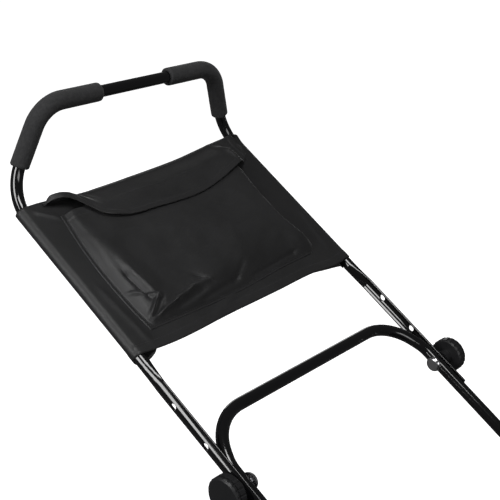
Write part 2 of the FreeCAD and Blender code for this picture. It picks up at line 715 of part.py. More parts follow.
SEAT = "panel_skin + soft_gap"
pouch = body("pocket")
slope_side = [("pocket_low", SEAT), ("pocket_low", f"{SEAT} + pocket_deep"),
              ("pocket_high", f"{SEAT} + pocket_mouth"), ("pocket_high", SEAT)]
inner_side = [("pocket_low + cloth", f"{SEAT} - 1"), ("pocket_low + cloth", f"{SEAT} + pocket_deep - cloth"),
              ("pocket_high", f"{SEAT} + pocket_mouth - cloth"),
              ("pocket_high + 1", f"{SEAT} + pocket_mouth - cloth"), ("pocket_high + 1", f"{SEAT} - 1")]
pad(pouch, outline(pouch, "YZ_Plane", slope_side), "2 * pocket_half", both_ways=True)
pocket(pouch, outline(pouch, "YZ_Plane", inner_side), "2 * ( pocket_half - cloth )")
place(pouch, tilted=True)

flap = body("pocket_flap")
LIFT = "panel_skin + 2 * soft_gap"
over = f"{LIFT} + pocket_mouth + flap_over"
free = f"{LIFT} + pocket_deep - ( pocket_deep - pocket_mouth ) * 0.75"
knee = "pocket_high + flap_knee"
flap_side = [("panel_high", LIFT), (knee, over), ("flap_low", free),
             ("flap_low", f"{free} + cloth"), (knee, f"{over} + cloth"), ("panel_high", f"{LIFT} + cloth")]
pad(flap, outline(flap, "YZ_Plane", flap_side), "2 * flap_half", both_ways=True)
place(flap, tilted=True)

# ---------------------------------------------------------------- rear wheels

for name, side in SIDES:
    block = body(f"{name}_axle_block")
    low, high = "axle_z - base_height - axle_below", "frame_r + axle_above"
    side_view = [("-axle_foot", low), ("axle_foot", low), ("axle_top", high),
                 ("axle_lip - board_gap", high), ("-axle_foot", "-frame_r - axle_slope")]
    pad(block, outline(block, "YZ_Plane", side_view), "axle_block", both_ways=True)
    pocket(block, circle(block, "YZ_Plane", "0", "0", "frame_r"))
    pocket(block, circle(block, "YZ_Plane", "0", "axle_z - base_height", "axle / 2"))
    place(block, x=f"{side} * axle_track / 2", y="axle_y", z="base_height")

    rim_node = body(f"rear_{name}_rim")
    half_tread = "rear_tread / 2"
    centre = "hub_face + rear_hub / 2"
    seat = "rear_wheel / 2 - rear_tyre"
    well = f"{seat} - rim_bed"
    inner_edge, outer_edge = f"{centre} - {half_tread} + rim_lip", f"{centre} + {half_tread} - rim_lip"
    inner_web, outer_web = f"{centre} - rear_web / 2", f"{centre} + rear_web / 2"
    bore, flare = "axle / 2 + run_gap", "hub_radius + hub_flare"
    profile = [
        ("hub_face", bore), ("hub_face", "hub_radius"), (inner_web, flare), (inner_web, well),
        (inner_edge, f"{seat} - rim_lip"), (inner_edge, seat), (outer_edge, seat),
        (outer_edge, f"{seat} - rim_lip"), (outer_web, well), (outer_web, flare),
        ("hub_face + rear_hub", "hub_radius"), ("hub_face + rear_hub", bore)]
    turn(rim_node, [(f"{side} * ( {along} )", radius) for along, radius in profile])
    spoke_low, spoke_high = f"{inner_web} - spoke_root", f"{outer_web} + spoke_rise"
    spoke_end = f"{well} - spoke_short"
    spoke_plan = [(f"{side} * ( {spoke_low} )", "hub_radius"), (f"{side} * ( {spoke_high} )", "hub_radius"),
                  (f"{side} * ( {spoke_high} )", spoke_end), (f"{side} * ( {spoke_low} )", spoke_end)]
    spoke = pad(rim_node, outline(rim_node, "XY_Plane", spoke_plan), "spoke_wide", both_ways=True)
    pattern(rim_node, spoke, "X_Axis", "spokes")
    place(rim_node, y="axle_y", z="axle_z")

    tyre = body(f"rear_{name}_tyre")
    inner, outer = f"{centre} - {half_tread}", f"{centre} + {half_tread}"
    casing = turn(tyre, [
        (f"{side} * ( {inner} )", seat), (f"{side} * ( {inner} )", "rear_wheel / 2"),
        (f"{side} * ( {outer} )", "rear_wheel / 2"), (f"{side} * ( {outer} )", seat)])
    round_off(tyre, casing, lambda edge: is_ring(edge, size("rear_wheel / 2")), "rear_tyre / 2")
    place(tyre, y="axle_y", z="axle_z")

    cap = body(f"{name}_axle_cap")
    start = "hub_face + rear_hub + wheel_gap"
    turn(cap, [
        (f"{side} * ( {start} )", "axle / 2"), (f"{side} * ( {start} )", "axle + cap_flange"),
        (f"{side} * ( {start} + cap_long )", "axle"), (f"{side} * ( {start} + cap_long )", "0"),
        (f"{side} * ( {start} + cap_deep )", "0"), (f"{side} * ( {start} + cap_deep )", "axle / 2")])
    place(cap, y="axle_y", z="axle_z")

axle = body("rear_axle")
axle_reach = "2 * ( hub_face + rear_hub + wheel_gap + cap_deep )"
pad(axle, circle(axle, "YZ_Plane", "0", "0", "axle / 2"), axle_reach, both_ways=True)
place(axle, y="axle_y", z="axle_z")

# ---------------------------------------------------------------- castors

for name, side in SIDES:
    x = f"{side} * castor_track / 2"

    socket = body(f"{name}_castor_socket")
    back = "castor_ahead + frame_r + socket_back"
    top_view = [("-socket_half", "-socket_half"), ("socket_half", "-socket_half"), ("socket_half", back),
                ("-socket_half", back)]
    pad(socket, outline(socket, "XY_Plane", top_view), "2 * ( frame_r + socket_wall )")
    pocket(socket, circle(socket, "YZ_Plane", "castor_ahead", "base_height - castor_low", "frame_r"))
    pocket(socket, circle(socket, "XY_Plane", "0", "0", "castor_stem / 2 + run_gap"))
    place(socket, x=x, y="castor_y", z="castor_low")

    stem = body(f"{name}_castor_stem")
    shoulder = "castor_low + 2 * ( frame_r + socket_wall ) + soft_gap"
    shank, foot, top = "castor_stem / 2", "fork_top - fork_steel", f"{shoulder} + stem_head"
    turn(stem, [("0", foot), (shank, foot), (shank, shoulder), (f"{shank} + stem_flange", shoulder),
                (f"{shank} + stem_flange_top", top), ("0", top)], axis="V_Axis", plane="XZ_Plane")
    place(stem, x=x, y="castor_y")

    fork = body(f"{name}_castor_fork")
    side_view = [("-fork_plate", "fork_top"), ("fork_plate", "fork_top"),
                 ("castor_trail + fork_eye", "castor_z + fork_eye_high"),
                 ("castor_trail + fork_eye", "castor_z - fork_eye_high"),
                 ("castor_trail + fork_eye_flat", "castor_z - fork_eye_low"),
                 ("castor_trail - fork_eye_flat", "castor_z - fork_eye_low"),
                 ("castor_trail - fork_eye", "castor_z - fork_eye_high"),
                 ("-fork_plate", "fork_top - fork_side")]
    pad(fork, outline(fork, "YZ_Plane", side_view), "2 * fork_half", both_ways=True)
    gap_half = "( fork_half - fork_steel )"
    gap = [(f"-{gap_half}", "0"), (gap_half, "0"), (gap_half, "fork_top - fork_steel"),
           (f"-{gap_half}", "fork_top - fork_steel")]
    pocket(fork, outline(fork, "XZ_Plane", gap))
    pocket(fork, circle(fork, "YZ_Plane", "castor_trail", "castor_z", "castor_bolt / 2"))
    pocket(fork, circle(fork, "XY_Plane", "0", "0", "castor_stem / 2"))
    place(fork, x=x, y="castor_y")

    wheel_bolt = body(f"{name}_castor_bolt")
    head, nut = "-( fork_half + castor_head )", "fork_half + castor_nut"
    turn(wheel_bolt, [(head, "0"), (head, "castor_head_out"), ("-fork_half", "castor_head_in"),
                      ("-fork_half", "castor_bolt / 2"), ("fork_half", "castor_bolt / 2"),
                      ("fork_half", "castor_head_in"), (nut, "castor_head_out"), (nut, "0")])
    place(wheel_bolt, x=x, y="castor_y + castor_trail", z="castor_z")

    front_rim = body(f"front_{name}_rim")
    hub_half = "( front_tread / 2 + castor_hub_out )"
    bore = "castor_bolt / 2 + run_gap"
    seat = "front_wheel / 2 - front_tyre"
    tread = "front_tread / 2"
    bed, lip = f"{seat} - castor_bed", f"{seat} - castor_lip"
    turn(front_rim, [(f"-{hub_half}", bore), (f"-{hub_half}", "castor_hub_end"),
                     ("-castor_web", "castor_hub_root"), ("-castor_web", bed), (f"-{tread}", lip),
                     (f"-{tread}", seat), (tread, seat), (tread, lip), ("castor_web", bed),
                     ("castor_web", "castor_hub_root"), (hub_half, "castor_hub_end"), (hub_half, bore)])
    place(front_rim, x=x, y="castor_y + castor_trail", z="castor_z")

    front_tyre = body(f"front_{name}_tyre")
    ring = turn(front_tyre, [(f"-{tread}", seat), (f"-{tread}", "front_wheel / 2"),
                             (tread, "front_wheel / 2"), (tread, seat)])
    round_off(front_tyre, ring, lambda edge: is_ring(edge, size("front_wheel / 2")), "front_tyre / 2")
    place(front_tyre, x=x, y="castor_y + castor_trail", z="castor_z")

# ---------------------------------------------------------------- origin, checks and export

document.recompute()
foremost = min(item.Shape.optimalBoundingBox(False, False).YMin for item in nodes.values())
rearmost = max(item.Shape.optimalBoundingBox(False, False).YMax for item in nodes.values())
sheet.set(shift_cell, str(-(foremost + rearmost) / 2))
document.recompute()

for item in document.Objects:
    if "Invalid" in item.State or "Error" in item.State:
        raise RuntimeError(f"{item.Label} did not build: {item.State}")
for node, item in nodes.items():
    if item.Shape.isNull() or not item.Shape.isValid() or not item.Shape.Solids:
        raise RuntimeError(f"{node} has no valid solid")

os.makedirs("parts", exist_ok=True)
for node, item in nodes.items():
    item.Shape.exportStep(f"parts/{node}.step")
print(len(nodes), "sub-parts; front", round(foremost, 2), "back", round(rearmost, 2))
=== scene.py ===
import json
import math

import bpy
import numpy as np
from mathutils import Matrix, Vector, noise


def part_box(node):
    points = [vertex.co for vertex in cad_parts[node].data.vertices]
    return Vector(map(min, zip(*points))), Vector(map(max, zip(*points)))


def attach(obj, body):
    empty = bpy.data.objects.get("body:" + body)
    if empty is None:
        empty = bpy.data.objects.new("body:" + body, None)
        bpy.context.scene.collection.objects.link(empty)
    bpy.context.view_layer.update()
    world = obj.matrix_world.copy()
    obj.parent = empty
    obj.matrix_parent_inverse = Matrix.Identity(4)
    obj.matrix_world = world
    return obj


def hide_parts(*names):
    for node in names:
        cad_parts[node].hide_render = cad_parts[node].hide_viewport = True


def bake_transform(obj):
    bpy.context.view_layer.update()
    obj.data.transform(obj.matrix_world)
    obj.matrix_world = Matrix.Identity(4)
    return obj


# Looks of the shopping trolley: cloth, foam, tread, finishes, studio and camera.
# The handle's soft pieces are drawn in the handle's own frame, in millimetres: x across, s up
# along the side tubes and n away from the fabric panel, with the middle of the bow's cross tube
# as origin.

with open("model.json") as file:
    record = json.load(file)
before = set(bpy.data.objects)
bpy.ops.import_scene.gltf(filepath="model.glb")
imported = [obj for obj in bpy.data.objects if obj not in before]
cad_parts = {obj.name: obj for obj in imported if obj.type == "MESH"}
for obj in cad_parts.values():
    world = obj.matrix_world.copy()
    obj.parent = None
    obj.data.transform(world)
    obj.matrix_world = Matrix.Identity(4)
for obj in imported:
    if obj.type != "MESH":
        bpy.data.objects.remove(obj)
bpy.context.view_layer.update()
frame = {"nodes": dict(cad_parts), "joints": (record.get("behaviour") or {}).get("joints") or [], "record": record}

MM = 0.001
JOINTS = {joint["name"]: joint for joint in frame["joints"]}
STEM_LENGTH = 0.400  # hinge to the bow's cross tube


def joint_place(name):
    """A joint's place, brought to the trolley's middle plane."""
    y, z = JOINTS[name]["pos_m"][1:]
    return Vector((0, y, z))


HINGE = joint_place("handle_fold")
ALONG = (joint_place("right_height_knob_turn") - HINGE).normalized()
AWAY = Vector((1, 0, 0)).cross(ALONG)
STEM = HINGE + ALONG * STEM_LENGTH

# Side tubes and upper bend of the handle.
SIDE = 203.8  # side tube from the middle
TUBE = 8.0  # tube radius
BEND_START = 352.0  # where the side tubes leave their plane
BEND_RADIUS = 60.0
SKIN = 9.0  # cloth round a side tube


def to_world(points):
    """Points of the handle's frame, in millimetres, as points of the trolley's, in metres."""
    points = np.asarray(points, float) * MM
    axes = np.array([(1, 0, 0), ALONG[:], AWAY[:]])
    return points @ axes + np.array(STEM[:])


# ------------------------------------------------------------------ curves, noise and meshes


def curve(*points):
    """Smooth function through points given by rising x."""
    xs, ys = np.array(points, float).T
    slope = np.gradient(ys, xs)

    def value(x):
        x = np.clip(x, xs[0], xs[-1])
        i = np.clip(np.searchsorted(xs, x) - 1, 0, len(xs) - 2)
        gap = xs[i + 1] - xs[i]
        t = (x - xs[i]) / gap
        return ((2 * t**3 - 3 * t**2 + 1) * ys[i] + (t**3 - 2 * t**2 + t) * gap * slope[i]
                + (3 * t**2 - 2 * t**3) * ys[i + 1] + (t**3 - t**2) * gap * slope[i + 1])

    return value


def ease(t):
    t = np.clip(t, 0, 1)
    return t * t * (3 - 2 * t)


def lower_of(a, b, soft):
    """Lower of two heights, with the edge between them rounded over about soft."""
    top = np.maximum(-a / soft, -b / soft)
    return -soft * (top + np.log(np.exp(-a / soft - top) + np.exp(-b / soft - top)))


def ripple(x, y, seed):
    """Noise from -1 to 1 on arrays of two coordinates."""
    x, y = np.broadcast_arrays(x, y)
    flat = [noise.noise(Vector((a, b, seed))) for a, b in zip(x.ravel(), y.ravel())]
    return np.reshape(flat, x.shape)


FOLD_FADE = 2.6  # how far a fold runs out past its ends, in widths


def fold(x, s, start, end, width, height, tail=1.0):
    """Ridge, or valley if height is negative, along a line and fading at its ends.

    The side on the right of the line is tail times as wide as the other.
    """
    (x0, s0), (x1, s1) = start, end
    length = math.hypot(x1 - x0, s1 - s0)
    along = ((x - x0) * (x1 - x0) + (s - s0) * (s1 - s0)) / length
    off = ((x - x0) * (s1 - s0) - (s - s0) * (x1 - x0)) / length
    over = np.maximum(np.maximum(-along, along - length), 0) / (FOLD_FADE * width)
    side = np.where(off > 0, width * tail, width)
    return height * np.exp(-(off / side) ** 2 - over**2)


def grid_mesh(name, points, wrap=False, span=(1.0, 1.0)):
    """Mesh over rows and columns of points, with its UVs in metres of cloth."""
    rows, columns = points.shape[:2]
    last = columns if wrap else columns - 1
    faces = [(r * columns + c, r * columns + (c + 1) % columns,
              (r + 1) * columns + (c + 1) % columns, (r + 1) * columns + c)
             for r in range(rows - 1) for c in range(last)]
    mesh = bpy.data.meshes.new(name)
    mesh.from_pydata(points.reshape(-1, 3).tolist(), [], faces)
    layer = mesh.uv_layers.new(name="cloth")
    across, up = span[0] / last, span[1] / (rows - 1)
    corners = [((c + dc) * across, (r + dr) * up)
               for r in range(rows - 1) for c in range(last)
               for dc, dr in ((0, 0), (1, 0), (1, 1), (0, 1))]
    layer.data.foreach_set("uv", np.ravel(corners))
    mesh.shade_smooth()
    return mesh


def piece(name, mesh, body, material, slot, *replaced):
    """Object from a mesh, riding on a CAD body and standing for CAD nodes."""
    made = bpy.data.objects.new(name, mesh)
    bpy.context.scene.collection.objects.link(made)
    mesh.materials.append(material)
    if body:
        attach(made, body)
    if replaced:
        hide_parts(*replaced)
    return made


def thicken(made, thickness, offset):
    """Give a surface its cloth's thickness, in mm: against its normals at offset -1, along at 1."""
    layer = made.modifiers.new("cloth", "SOLIDIFY")
    layer.thickness = thickness * MM
    layer.offset = offset


def route(points, radii, step=2.0):
    """Points along straight runs joined by tangent arcs, about a step apart."""
    points = [np.array(p, float) for p in points]
    found = [points[0]]
    for before, corner, after, radius in zip(points, points[1:], points[2:], radii):
        back = (before - corner) / np.linalg.norm(before - corner)
        ahead = (after - corner) / np.linalg.norm(after - corner)
        half = math.acos(np.clip(back @ ahead, -1, 1)) / 2
        centre = corner + (back + ahead) / np.linalg.norm(back + ahead) * radius / math.sin(half)
        first = corner + back * radius / math.tan(half)
        u = (first - centre) / radius
        w = -back
        sweep = math.pi - 2 * half
        turns = np.linspace(0, sweep, max(3, int(radius * sweep / step)))
        found += [centre + radius * (math.cos(t) * u + math.sin(t) * w) for t in turns]
    found.append(points[-1])
    dense = [found[0]]
    for a, b in zip(found, found[1:]):
        count = max(1, int(np.linalg.norm(b - a) / step))
        dense += [a + (b - a) * k / count for k in range(1, count + 1)]
    return np.array(dense)


def sweep_rings(line, radius, around):
    """Rings round a line, carried along it without twist: an array of line, around, 3."""
    tangents = np.gradient(line, axis=0)
    tangents /= np.linalg.norm(tangents, axis=1)[:, None]
    side = np.cross(tangents[0], (0.0, 0.0, 1.0))
    if np.linalg.norm(side) < 0.1:
        side = np.cross(tangents[0], (1.0, 0.0, 0.0))
    rings = []
    radius = np.broadcast_to(radius, len(line))
    turn = np.linspace(0, 2 * math.pi, around, endpoint=False)
    for point, tangent, r in zip(line, tangents, radius):
        side = side - (side @ tangent) * tangent
        side /= np.linalg.norm(side)
        other = np.cross(tangent, side)
        rings.append(point + r * (np.outer(np.cos(turn), side) + np.outer(np.sin(turn), other)))
    return np.array(rings)


def lathe(name, profile, around, centre, relief=None):
    """Ring about the X axis at centre. profile is (x, radius) in mm; relief deepens it by angle."""
    profile = np.array(profile, float)
    turn = np.linspace(0, 2 * math.pi, around, endpoint=False)
    x, radius = profile[:, 0][None], profile[:, 1][None]
    radius = radius - (relief(x, turn[:, None]) if relief else 0)
    points = np.stack(np.broadcast_arrays(x, radius * np.cos(turn)[:, None],
                                          radius * np.sin(turn)[:, None]), -1) * MM
    points += np.array(centre)
    return grid_mesh(name, points.transpose(1, 0, 2), wrap=True)


# A stitch from end to end: place along half its length, and share of the thread's radius.
STITCH = [(-1.0, 0.05), (-0.75, 0.8), (0.0, 1.0), (0.75, 0.8), (1.0, 0.05)]
THREAD_SIDES = 6


def stitches(name, lines, body, pitch=3.6, length=2.5, thread=0.32):
    """Sewing thread along lines of world points, one short bead of thread for each stitch."""
    rings = []
    for line in lines:
        steps = np.linalg.norm(np.diff(line, axis=0), axis=1)
        reach = np.concatenate([[0], np.cumsum(steps)])
        places = np.arange(pitch / 2, reach[-1] / MM, pitch) * MM
        for place in places:
            ends = [np.array([np.interp(place + d * length / 2 * MM, reach, line[:, k])
                              for k in range(3)])
                    for d in (-1, 1)]
            middle, half = (ends[0] + ends[1]) / 2, (ends[1] - ends[0]) / 2
            bead = np.array([middle + half * along for along, share in STITCH])
            radii = [thread * MM * share for along, share in STITCH]
            rings.append(sweep_rings(bead, radii, THREAD_SIDES))
    mesh = bpy.data.meshes.new(name)
    points = np.array(rings).reshape(-1, 3)
    sides = THREAD_SIDES
    faces = [(first + r * sides + c, first + r * sides + (c + 1) % sides,
              first + (r + 1) * sides + (c + 1) % sides, first + (r + 1) * sides + c)
             for first in range(0, len(points), sides * len(STITCH))
             for r in range(len(STITCH) - 1) for c in range(sides)]
    mesh.from_pydata(points.tolist(), [], faces)
    mesh.shade_smooth()
    return piece(name, mesh, body, MATERIALS["thread"], "fabric")


# ------------------------------------------------------------------ materials

WAVE_TURNS = 20  # at scale 1 a wave texture has one wave each 2 pi / 20 of a unit
RIB_PITCH = 0.012  # floor board, in metres


def material(name, colour, roughness, **sockets):
    made = bpy.data.materials.new(name)
    made.use_nodes = True
    shader = made.node_tree.nodes["Principled BSDF"]
    shader.inputs["Base Color"].default_value = (*colour, 1)
    shader.inputs["Roughness"].default_value = roughness
    for key, value in sockets.items():
        shader.inputs[key.replace("_", " ")].default_value = value
    return made


def add(made, kind, **settings):
    node = made.node_tree.nodes.new(kind)
    for key, value in settings.items():
        if key in node.inputs:
            node.inputs[key].default_value = value
        else:
            setattr(node, key, value)
    return node


def link(made, source, target):
    made.node_tree.links.new(source, target)


def bump(made, height, strength, distance):
    """Bump from a height socket, added to any bump that the shader has already."""
    shader = made.node_tree.nodes["Principled BSDF"]
    node = add(made, "ShaderNodeBump", Strength=strength, Distance=distance)
    if shader.inputs["Normal"].links:
        link(made, shader.inputs["Normal"].links[0].from_socket, node.inputs["Normal"])
    link(made, height, node.inputs["Height"])
    link(made, node.outputs["Normal"], shader.inputs["Normal"])


def vary(made, socket, low, high, scale, detail=4.0):
    """Uneven value of one socket, from low to high: wear, dust or dye."""
    place = add(made, "ShaderNodeTexCoord")
    grain = add(made, "ShaderNodeTexNoise", Scale=scale, Detail=detail)
    spread = add(made, "ShaderNodeMapRange")
    link(made, place.outputs["Object"], grain.inputs["Vector"])
    link(made, grain.outputs["Fac"], spread.inputs["Value"])
    spread.inputs["From Min"].default_value = 0.3
    spread.inputs["From Max"].default_value = 0.7
    spread.inputs["To Min"].default_value = low
    spread.inputs["To Max"].default_value = high
    link(made, spread.outputs["Result"], made.node_tree.nodes["Principled BSDF"].inputs[socket])


def tint(made, dark, light, scale):
    """Uneven base colour between two shades."""
    place = add(made, "ShaderNodeTexCoord")
    grain = add(made, "ShaderNodeTexNoise", Scale=scale, Detail=5.0)
    ramp = add(made, "ShaderNodeValToRGB")
    for stop, position, colour in zip(ramp.color_ramp.elements, (0.35, 0.65), (dark, light)):
        stop.position, stop.color = position, (*colour, 1)
    link(made, place.outputs["Object"], grain.inputs["Vector"])
    link(made, grain.outputs["Fac"], ramp.inputs["Fac"])
    link(made, ramp.outputs["Color"], made.node_tree.nodes["Principled BSDF"].inputs["Base Color"])


def noise_bump(made, scale, strength, distance, detail=3.0):
    place = add(made, "ShaderNodeTexCoord")
    grain = add(made, "ShaderNodeTexNoise", Scale=scale, Detail=detail)
    link(made, place.outputs["Object"], grain.inputs["Vector"])
    bump(made, grain.outputs["Fac"], strength, distance)


def woven(name, colour, roughness, pitch, strength):
    """Plain-weave nylon: two crossed sets of yarns in the cloth's own UVs, which are in metres."""
    made = material(name, colour, roughness, Sheen_Weight=0.12, Sheen_Roughness=0.4)
    place = add(made, "ShaderNodeTexCoord")
    yarns = []
    for direction in ("X", "Y"):
        wave = add(made, "ShaderNodeTexWave", Scale=2 * math.pi / (WAVE_TURNS * pitch * MM),
                   Distortion=0.6)
        wave.bands_direction = direction
        link(made, place.outputs["UV"], wave.inputs["Vector"])
        yarns.append(wave.outputs["Fac"])
    both = add(made, "ShaderNodeMath", operation="MULTIPLY")
    link(made, yarns[0], both.inputs[0])
    link(made, yarns[1], both.inputs[1])
    bump(made, both.outputs["Value"], strength, pitch * 0.3 * MM)
    noise_bump(made, 60, 0.10, 0.002)
    dark, light = [tuple(c * share for c in colour) for share in (0.82, 1.2)]
    tint(made, dark, light, 18)
    return made


def enamel():
    made = material("gloss_enamel", (0.0035, 0.0035, 0.004), 0.10,
                    Coat_Weight=0.5, Coat_Roughness=0.04)
    vary(made, "Roughness", 0.08, 0.16, 14)
    return made


def foam():
    made = material("cellular_foam", (0.019, 0.019, 0.020), 0.9, Sheen_Weight=0.1)
    place = add(made, "ShaderNodeTexCoord")
    cells = add(made, "ShaderNodeTexVoronoi", Scale=900)
    link(made, place.outputs["Object"], cells.inputs["Vector"])
    bump(made, cells.outputs["Distance"], 0.5, 0.0006)
    tint(made, (0.017, 0.017, 0.018), (0.025, 0.025, 0.026), 240)
    return made


def moulded():
    made = material("moulded_nylon", (0.011, 0.011, 0.012), 0.42)
    noise_bump(made, 900, 0.12, 0.0003)
    vary(made, "Roughness", 0.36, 0.5, 30)
    return made


def zinc():
    made = material("bright_zinc", (0.72, 0.72, 0.74), 0.22, Metallic=1.0)
    noise_bump(made, 500, 0.05, 0.0003)
    vary(made, "Roughness", 0.16, 0.32, 60)
    return made


def board():
    made = material("ribbed_board", (0.022, 0.022, 0.023), 0.55)
    place = add(made, "ShaderNodeTexCoord")
    ribs = add(made, "ShaderNodeTexWave", Scale=2 * math.pi / (WAVE_TURNS * RIB_PITCH))
    link(made, place.outputs["Object"], ribs.inputs["Vector"])
    bump(made, ribs.outputs["Fac"], 0.5, 0.001)
    tint(made, (0.018, 0.018, 0.019), (0.028, 0.028, 0.028), 22)
    return made


def rim_plastic():
    made = material("wheel_plastic", (0.09, 0.09, 0.095), 0.45)
    noise_bump(made, 700, 0.1, 0.0003)
    tint(made, (0.075, 0.075, 0.08), (0.11, 0.11, 0.115), 35)
    return made


def rubber():
    made = material("tyre_rubber", (0.022, 0.022, 0.022), 0.72)
    noise_bump(made, 600, 0.25, 0.0005)
    tint(made, (0.018, 0.018, 0.018), (0.034, 0.033, 0.032), 28)
    return made


def sewing_thread():
    made = material("thread", (0.03, 0.03, 0.032), 0.6)
    noise_bump(made, 3000, 0.2, 0.0001)
    return made


MATERIALS = {
    "tube_black": enamel(), "foam": foam(), "moulded_black": moulded(), "zinc": zinc(),
    "board": board(), "wheel_rim": rim_plastic(), "tyre": rubber(), "thread": sewing_thread(),
    "fabric": woven("satin_nylon", (0.0098, 0.0098, 0.0102), 0.50, 0.55, 0.25),
    "hamper_fabric": woven("heavy_nylon", (0.030, 0.030, 0.031), 0.62, 0.9, 0.4),
}


def finish_of_nodes():
    """Each CAD node gets the material of the slot that the record names for it."""
    for row in frame["record"]["subparts"]:
        node = frame["nodes"][row["node"]]
        node.data.materials.clear()
        node.data.materials.append(MATERIALS[row["material_slot"]])


# ------------------------------------------------------------------ fabric on the handle

# The panel's edges: s by x.
PANEL_FRONT_LOW = curve((-214, 110), (-187, 107), (-30, 109), (44, 110), (126, 111.5),
                        (177, 108), (214, 113))
PANEL_BACK_LOW = curve((-214, 110), (-205, 105), (-196, 102.5), (-187, 103), (-180, 107),
                       (-176, 112), (-168, 114), (120, 114), (165, 107), (190, 104), (214, 112))
PANEL_HIGH = curve((-214, 356), (-175, 357), (-143, 355), (-43, 354.5), (79, 361), (150, 368),
                   (183, 372), (204, 372), (214, 368))
PANEL_COLUMNS = 170  # across one layer
PANEL_ROWS = 110
PANEL_SLACK = 2.6  # how far the front layer dips between the tubes
LAYER_GAP = 2.2  # between the layers where they lie together
HEM_DEPTH = 14.0
PANEL_SEAM = 12.5  # the hem's row of stitches, up from the edge

# Folds of the panel's front: start, end, width, height.
PANEL_FOLDS = [
    ((-189, 341), (-172, 329), 3, 1.8), ((-190, 200), (-182, 130), 5, 0.9),
    ((-60, 118), (-30, 128), 6, 1.0), ((188, 150), (196, 200), 6, 1.0),
]


def tube_offset(s):
    """How far the side tubes have bent out of the panel's plane at s."""
    over = np.clip(s - BEND_START, 0, BEND_RADIUS)
    return BEND_RADIUS - np.sqrt(BEND_RADIUS**2 - over**2)


def panel_level(x, s):
    """Front layer of the panel: taut over both side tubes, a little slack between them."""
    slack = PANEL_SLACK * (1 - (x / SIDE) ** 2)
    waves = 0.5 * ripple(x / 60, s / 22, 3.0) + 0.25 * ripple(x / 24, s / 14, 9.0)
    tight = ease((SIDE - np.abs(x)) / 50)
    return SKIN - slack * tight + waves * tight + tube_offset(s)


def panel_points():
    """Closed cloth tube round both side tubes, from its lower edge to its upper edge."""
    flat = np.linspace(-SIDE, SIDE, PANEL_COLUMNS)
    bow = np.linspace(0, math.pi, 16)[1:-1]
    front_x, right_x = flat, SIDE + SKIN * np.sin(bow)
    back_x, left_x = flat[::-1], -SIDE - SKIN * np.sin(bow)
    x = np.concatenate([front_x, right_x, back_x, left_x])[None]
    front = np.concatenate([np.ones(PANEL_COLUMNS), np.cos(bow) / 2 + 0.5,
                            np.zeros(PANEL_COLUMNS), 0.5 - np.cos(bow) / 2])[None]
    v = np.linspace(0, 1, PANEL_ROWS)[:, None]
    low = front * PANEL_FRONT_LOW(x) + (1 - front) * PANEL_BACK_LOW(x)
    s = low + v * (PANEL_HIGH(x) - low)
    inner = np.abs(x) <= SIDE
    face = panel_level(x * np.ones_like(s), s)
    level = tube_offset(s) - SKIN
    closed = ease((SIDE - np.abs(x)) / 26) * (0.45 + 0.55 * ease((180 - s) / 60))
    rear = level + closed * (face - LAYER_GAP - level)
    around = SKIN * (2 * front - 1) + tube_offset(s)
    in_front = front > 0.5
    n = np.where(inner, np.where(in_front, face, rear), around)
    n = n + hem_relief(s - low) * np.where(in_front, 1, -1)
    n = n + np.where(in_front, 1, 0) * sum(fold(x, s, *crease) for crease in PANEL_FOLDS)
    return np.stack([x * np.ones_like(s), s, n], -1)


def hem_relief(above):
    """Doubled hem with the dent of its seam, by the height above the edge."""
    return 0.7 * ease((HEM_DEPTH - above) / 2) - 0.5 * np.exp(-((above - PANEL_SEAM) / 0.9) ** 2)


# The pocket's outline: x by s at its sides, s by x at its floor.
POCKET_LEFT = curve((132, -170), (160, -173.5), (191, -175.4), (251, -174.9), (328, -165.6))
POCKET_RIGHT = curve((132, 150), (140, 160), (159, 166), (181, 160), (200, 154), (244, 152),
                     (328, 160))
POCKET_FLOOR = curve((-176, 132), (-9, 132), (103, 139), (166, 140))
POCKET_LOW = 132.0
POCKET_MOUTH = 328.0
POCKET_COLUMNS, POCKET_ROWS = 260, 170
FLANGE = 6.0  # flat seam allowance, sewn down with two rows
FLANGE_ROWS = (1.4, 4.6)  # the two rows of stitches, in from the flange's edge
SEWN = 0.4  # height of the cloth where it's sewn down
CLOTH = 0.9  # thickness of the handle's cloth
STITCH_LIFT = 0.3  # thread above the cloth it lies on

# Folds of the pocket's face: start, end, width, height and tail.
POCKET_FOLDS = [
    ((-172, 139), (-111, 152), 2.6, 3.2), ((-111, 152), (-82, 158), 3.0, 3.0),
    ((-82, 158), (-50, 160), 3.6, 2.4), ((-110, 145), (-70, 150), 4.0, -2.2),
    ((-50, 160), (-58, 168), 4.0, -1.6), ((-140, 163), (-171, 139), 2.4, 4.4),
    ((-160, 184), (-138, 168), 2.6, 2.6), ((-150, 206), (-146, 178), 3.4, -3.8),
    ((-142, 214), (-135, 172), 6.0, 2.6), ((-134, 158), (-150, 146), 3.4, -3.0),
    ((-142, 244), (-132, 196), 12.0, 2.4), ((-2, 149), (17, 161), 4.0, -1.3),
    ((-66, 141), (-2, 149), 2.6, -2.0, 2.0), ((34, 144), (117, 151), 2.6, -3.2, 2.2),
    ((-60, 270), (60, 230), 26.0, 1.2), ((30, 300), (100, 240), 20.0, -1.0),
]


